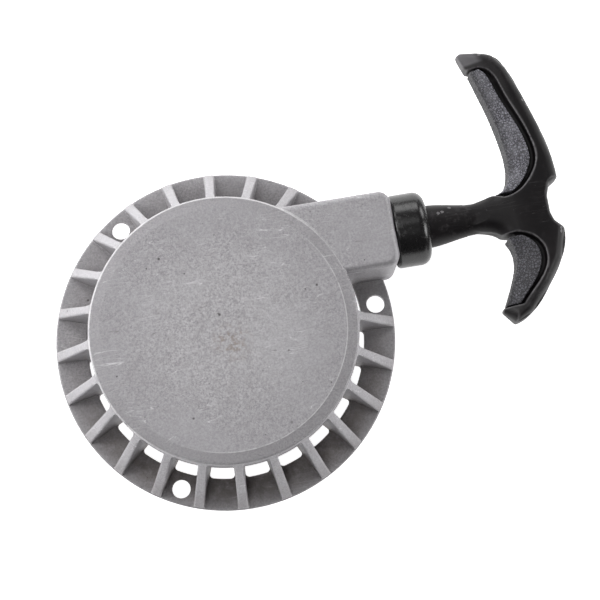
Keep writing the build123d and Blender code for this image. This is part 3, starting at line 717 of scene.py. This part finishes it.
def back_round(x, y):
    """Share of its thickness that the bar keeps near its back and its notch."""
    off_back = min(distance_to(UPPER_BACK, x, y), distance_to(LOWER_BACK, x, y)) / BACK_REACH
    back = min(1.0, off_back, distance_to(NOTCH, x, y) / NOTCH_REACH)
    return BACK_LEAST + (1 - BACK_LEAST) * (1 - (1 - back) ** 2) ** 0.5


def stem_flow(x, off_axis, height):
    """Share of its height that a point keeps where the round stem widens into the bar."""
    start, end = STEM_BLEND
    along = (x - start) / (end - start)
    if not 0 < along < 1:
        return 1.0
    half_width = STEM_R + STEM_WIDENS * along ** 3
    room = (STEM_R + STEM_DEEPENS * along) * (1 - min(1.0, off_axis / half_width) ** 2) ** 0.5
    if height <= room:
        return 1.0
    near = (1 - eased(off_axis, *NEAR_STEM)) * (1 - eased(along, 0.6, 1.0))
    return 1 + (room / height - 1) * near


def moulded(v):
    """Slopes the bar to its finger side, rounds its back, and lets the stem flow into it."""
    x, y, z = (c / MM for c in v)
    off_axis = abs(y - CORD_Y)
    dz = (z - CORD_Z) * finger_slope(x, y, off_axis) * back_round(x, y)
    dz *= stem_flow(x, off_axis, abs(dz))
    return Vector((x, y, CORD_Z + dz)) * MM


def remeshed(mesh, name, voxel, rounds):
    """Even, smoothed mesh of the same solid."""
    obj = linked(name, mesh)
    remesh = obj.modifiers.new("even", "REMESH")
    remesh.mode = "VOXEL"
    remesh.voxel_size = voxel * MM
    ease = obj.modifiers.new("ease", "SMOOTH")
    ease.factor = 0.5
    ease.iterations = rounds
    bpy.context.view_layer.update()
    result = bpy.data.meshes.new_from_object(obj.evaluated_get(bpy.context.evaluated_depsgraph_get()))
    obj.modifiers.clear()
    obj.data = result
    return obj


def softened(node, name, voxel, rounds, material):
    """Even mesh made from a CAD node, with its corners eased and its section moulded."""
    rough_shape = remeshed(frame["nodes"][node].data.copy(), name, voxel, rounds)
    mesh = rough_shape.data
    for v in mesh.vertices:
        v.co = moulded(v.co)
    bpy.data.objects.remove(rough_shape)
    obj = remeshed(mesh, name, voxel, 2)
    dress_smooth(obj.data, materials[material])
    return obj


def leather_grain(pad):
    """Raised cells with creases between them, as real relief."""
    mesh = pad.data
    moved = []
    for v in mesh.vertices:
        near = noise.voronoi(v.co / MM * GRAIN_PER_MM)[0]
        crest = min(1.0, (near[1] - near[0]) / CREASE)
        moved.append(v.co - v.normal * GRAIN_DEPTH * MM * (1 - crest))
    for v, co in zip(mesh.vertices, moved):
        v.co = co
    mesh.update()


def reach_the_ends(pad):
    """Brings the pad's ends up to the arm's tips, so that only a fine line is left between them."""
    for v in pad.data.vertices:
        y = v.co.y / MM
        v.co.y += PAD_STRETCH * MM * (eased(y, *LONG_PAD_END) - eased(y, *SHORT_PAD_END))
    pad.data.update()


def make_grip():
    handle = softened("handle", "moulded_handle", HANDLE_VOXEL, 2, "handle_plastic")
    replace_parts(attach(handle, "handle_body"), "handle")
    for node, name in (("grip_pad_long", "soft_pad_long"), ("grip_pad_short", "soft_pad_short")):
        pad = softened(node, name, PAD_VOXEL, 3, "grip_rubber")
        reach_the_ends(pad)
        leather_grain(pad)
        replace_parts(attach(pad, "handle_body"), node)


make_grip()


# ==== Floor, lights and camera ================================================================
# metres and radians, with the lens and its sensor in millimetres
FLOOR_Z = -0.4 * MM
FLOOR_HALF = 3.0
FLOOR_GLOW = 0.93
VIEW_TURN = radians(-9.6)
VIEW_UP = Matrix.Rotation(VIEW_TURN, 3, "Z")
TILT = -0.1688
TILT_AXIS = -0.0844
VIEW_DISTANCE = 0.66268
VIEW_OFFSET = (-0.02841, -0.01580)
LENS = 103.3
SENSOR_WIDTH = 36.0
LIGHT_SIZE = 0.5
LIGHT_DISTANCE = 1.2
LIT_POINT = Vector((0.03, 0.01, 0.015))
# name, degrees from the view's right towards its top, degrees above the floor, watts
LIGHTS = (
    ("left", 180, 25, 8.2),
    ("upper_left", 135, 22, 6.2),
    ("top", 90, 24, 3.0),
    ("upper_right", 45, 22, 4.0),
    ("right", 0, 22, 6.0),
    ("high_top", 120, 70, 2.3),
    ("high_bottom", 240, 70, 2.2),
)


def see_through_from_below(s):
    """Clears a one-sided material on its back, so that a camera below can see the underside."""
    clear = s.add("ShaderNodeBsdfTransparent")
    mix = s.add("ShaderNodeMixShader")
    s.put(mix.inputs[0], s.geometry("Backfacing"))
    s.put(mix.inputs[1], s.surface.outputs[0])
    s.put(mix.inputs[2], clear.outputs[0])
    s.put(s.tree.nodes["Material Output"].inputs["Surface"], mix.outputs[0])


def make_floor():
    """Pale sheet, lit a little from within like a light table, so that it stays near white."""
    mesh = bpy.data.meshes.new("floor")
    corners = [(sx * FLOOR_HALF, sy * FLOOR_HALF, FLOOR_Z) for sx, sy in ((-1, -1), (1, -1), (1, 1), (-1, 1))]
    mesh.from_pydata(corners, [], [(0, 1, 2, 3)])
    floor = linked("floor", mesh)
    s = Shader("floor")
    tone = s.mix(s.noise(0.002, 2.0), (0.80, 0.80, 0.80), (0.82, 0.82, 0.82))
    s.finish(tone, 0.9, Specular_IOR_Level=0.0, Emission_Color=(1.0, 1.0, 1.0), Emission_Strength=FLOOR_GLOW)
    see_through_from_below(s)
    mesh.materials.append(s.material)


def soft_light(name, azimuth, elevation, watts):
    """Square soft box that faces the part."""
    data = bpy.data.lights.new(name, "AREA")
    data.shape = "SQUARE"
    data.size = LIGHT_SIZE
    data.energy = watts
    light = linked(name, data)
    place = VIEW_UP @ polar(cos(radians(elevation)), azimuth, sin(radians(elevation)))
    light.location = LIT_POINT + place * LIGHT_DISTANCE
    light.rotation_euler = (-place).to_track_quat("-Z", "Y").to_euler()


def make_camera():
    data = bpy.data.cameras.new("camera")
    data.lens = LENS
    data.sensor_width = SENSOR_WIDTH
    data.clip_start = 0.01
    camera = linked("camera", data)
    tilt = Matrix.Rotation(TILT, 3, Vector((cos(TILT_AXIS), sin(TILT_AXIS), 0))).transposed()
    place = VIEW_UP @ tilt @ Vector((-VIEW_OFFSET[0], -VIEW_OFFSET[1], VIEW_DISTANCE))
    camera.matrix_world = Matrix.Translation(place) @ (VIEW_UP @ tilt).to_4x4()
    bpy.context.scene.camera = camera


def make_world():
    """White background that the camera sees and that lights nothing."""
    world = bpy.data.worlds.new("world")
    world.use_nodes = True
    background = world.node_tree.nodes["Background"]
    background.inputs["Color"].default_value = (1.0, 1.0, 1.0, 1)
    seen = world.node_tree.nodes.new("ShaderNodeLightPath")
    world.node_tree.links.new(seen.outputs["Is Camera Ray"], background.inputs["Strength"])
    bpy.context.scene.world = world


make_floor()
for light in LIGHTS:
    soft_light(*light)
make_camera()
make_world()
bpy.context.scene.view_settings.view_transform = "Standard"
bpy.context.scene.view_settings.look = "None"
